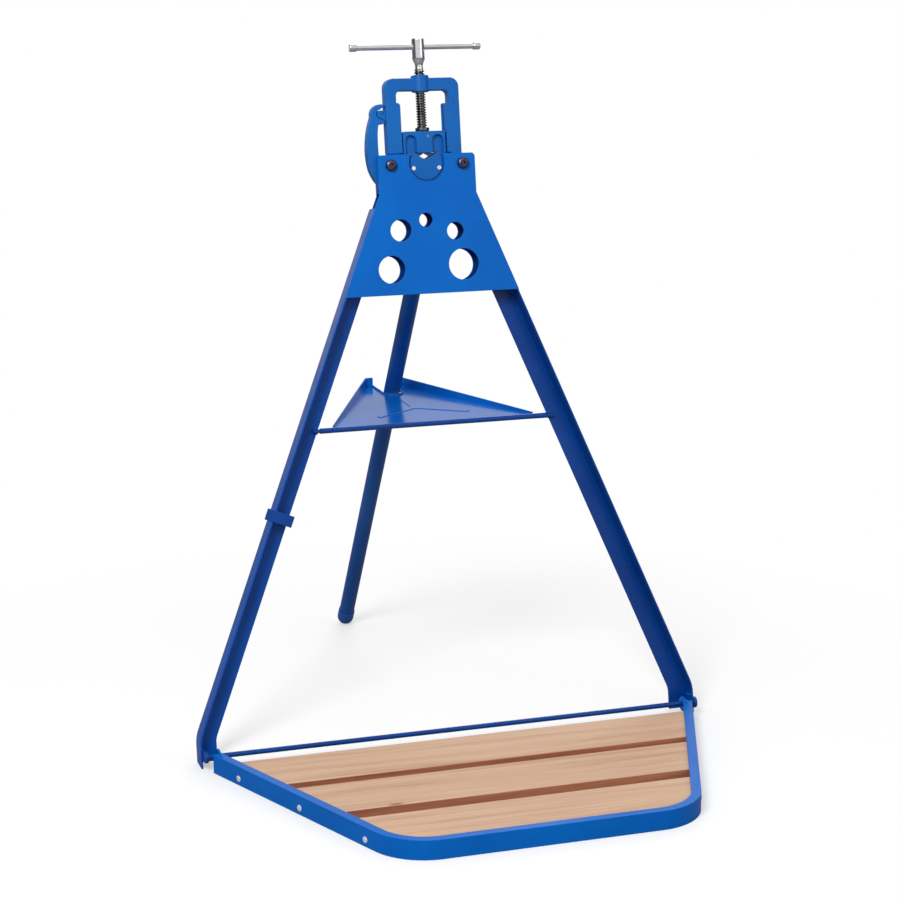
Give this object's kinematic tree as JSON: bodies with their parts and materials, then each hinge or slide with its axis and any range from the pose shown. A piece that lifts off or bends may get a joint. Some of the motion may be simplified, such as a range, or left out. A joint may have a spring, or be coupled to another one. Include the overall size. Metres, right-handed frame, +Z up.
{
  "type": "pipe vise stand",
  "caption": "Folding tripod stand with a yoke pipe vise on top, pipe-bending holes in its plate, a hinged rear leg, a small tray and a slatted wooden foot platform.",
  "frame": {"origin": "middle of the footprint on the floor, under the whole stand", "axes": "+X to the right seen from the platform side, +Y to the back where the single leg stands, +Z up"},
  "size_m": [0.826, 1.1108, 1.0961],
  "materials": {
    "blue_paint": "semi-gloss blue paint",
    "foot_cap": "blue moulded plastic",
    "zinc": "zinc plated",
    "pine": "planed pine",
    "hardened_jaw": "hardened tool steel",
    "chrome_bar": "chrome plated",
    "dark_steel": "black oxide",
    "bright_steel": "bright steel"
  },
  "bodies": {
    "stand": {"left_leg": "blue_paint", "right_leg": "blue_paint", "front_plate": "blue_paint", "rear_plate": "blue_paint", "vise_base": "blue_paint", "lower_jaw": "hardened_jaw", "jaw_screw_left": "bright_steel", "jaw_screw_right": "bright_steel", "base_bolt": "dark_steel", "base_nut": "dark_steel", "yoke_pin": "dark_steel", "yoke_nut": "dark_steel", "latch_pin": "bright_steel", "rear_leg_bracket": "blue_paint", "rear_leg_pin": "bright_steel", "tray_rod": "bright_steel", "tray_spacer_left": "bright_steel", "tray_spacer_right": "bright_steel", "platform_rod": "bright_steel", "platform_lug_left": "blue_paint", "platform_lug_right": "blue_paint", "leg_clip": "blue_paint"},
    "rear_leg": {"rear_leg_tube": "blue_paint", "rear_foot_cap": "foot_cap"},
    "tray": {"tray_pan": "blue_paint"},
    "platform": {"platform_rail": "blue_paint", "platform_ear_left": "blue_paint", "platform_ear_right": "blue_paint", "plank_back": "pine", "plank_middle": "pine", "plank_front": "pine", "plank_screw_left_back": "zinc", "plank_screw_left_middle": "zinc", "plank_screw_left_front": "zinc", "plank_screw_right_back": "zinc", "plank_screw_right_middle": "zinc", "plank_screw_right_front": "zinc"},
    "yoke": {"yoke": "blue_paint"},
    "latch": {"latch_arm": "blue_paint"},
    "carriage": {"jaw_carriage": "blue_paint", "upper_jaw": "hardened_jaw", "keep_pin": "bright_steel"},
    "screw": {"vise_screw": "dark_steel", "screw_collar": "bright_steel"},
    "handle": {"handle_bar": "chrome_bar", "handle_end_left": "chrome_bar", "handle_end_right": "chrome_bar"}
  },
  "joints": [
    {"name": "platform_fold", "type": "hinge", "parent": "stand", "child": "platform", "pos_m": [0, -0.12062, 0.02246], "axis": [-1, 0, 0], "range_deg": [0, 99]},
    {"name": "rear_leg_fold", "type": "hinge", "parent": "stand", "child": "rear_leg", "pos_m": [0, 0.07091, 0.76047], "axis": [-1, 0, 0], "range_deg": [0, 41.5]},
    {"name": "tray_fold", "type": "hinge", "parent": "stand", "child": "tray", "pos_m": [0, -0.00247, 0.49464], "axis": [-1, 0, 0], "range_deg": [0, 101]},
    {"name": "yoke_open", "type": "hinge", "parent": "stand", "child": "yoke", "pos_m": [0.0588, 0.05193, 0.8985], "axis": [0, 0.9863, -0.165], "range_deg": [0, 90]},
    {"name": "latch_swing", "type": "hinge", "parent": "stand", "child": "latch", "pos_m": [-0.066, 0.04698, 0.86891], "axis": [0, -0.9863, 0.165], "range_deg": [0, 90]},
    {"name": "jaw_slide", "type": "slide", "parent": "yoke", "child": "carriage", "axis": [0, 0.165, 0.9863], "range_m": [0, 0.053]},
    {"name": "screw_turn", "type": "hinge", "parent": "carriage", "child": "screw", "pos_m": [0, 0.06629, 0.9843], "axis": [0, 0.165, 0.9863], "range_deg": [0, 4770]},
    {"name": "handle_slide", "type": "slide", "parent": "screw", "child": "handle", "axis": [1, 0, 0], "range_m": [-0.079, 0.089]}
  ],
  "couplings": [
    {"joint": "tray_fold", "follows": "rear_leg_fold", "ratio": 2.43},
    {"joint": "latch_swing", "follows": "yoke_open", "ratio": 1},
    {"joint": "jaw_slide", "follows": "screw_turn", "m_per_rad": 0.00063662}
  ]
}
